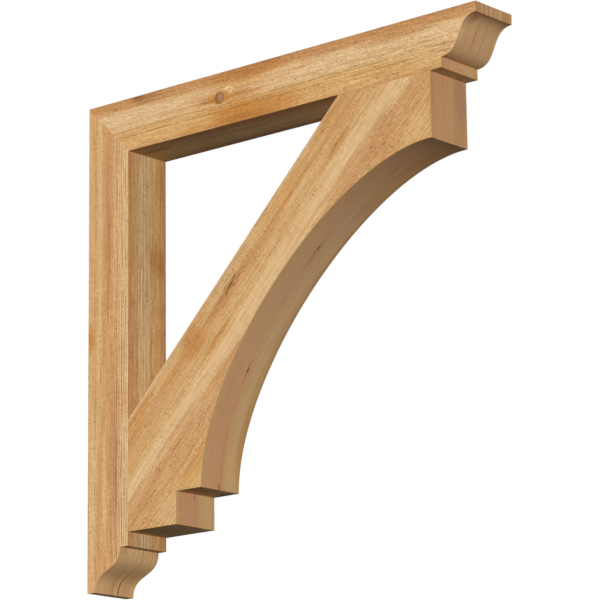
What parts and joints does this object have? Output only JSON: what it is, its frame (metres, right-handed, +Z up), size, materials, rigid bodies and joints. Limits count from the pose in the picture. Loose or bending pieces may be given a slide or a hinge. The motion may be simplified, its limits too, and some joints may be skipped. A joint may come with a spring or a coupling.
{
  "type": "wooden corbel bracket",
  "caption": "Wall bracket of rough-sawn timber: an upright post and a level arm mitred together, held by an arched diagonal brace, with S-curve moulded ends.",
  "frame": {"origin": "centre of the upright post's back face, which lies against the wall", "axes": "+X straight out from the wall along the arm, +Y across the timbers' width, +Z up"},
  "size_m": [0.9144, 0.1016, 0.9144],
  "materials": {
    "post_timber": "rough-sawn bare softwood, tan with pinkish-red and golden bands along the post",
    "arm_timber": "rough-sawn bare softwood, tan with an orange-brown band along the top edge and one knot",
    "brace_timber": "rough-sawn bare softwood, grain along the diagonal, cream and tan with fine dark saw marks"
  },
  "bodies": {
    "root": {"wall_post": "post_timber", "top_arm": "arm_timber", "arched_brace": "brace_timber"}
  },
  "joints": []
}
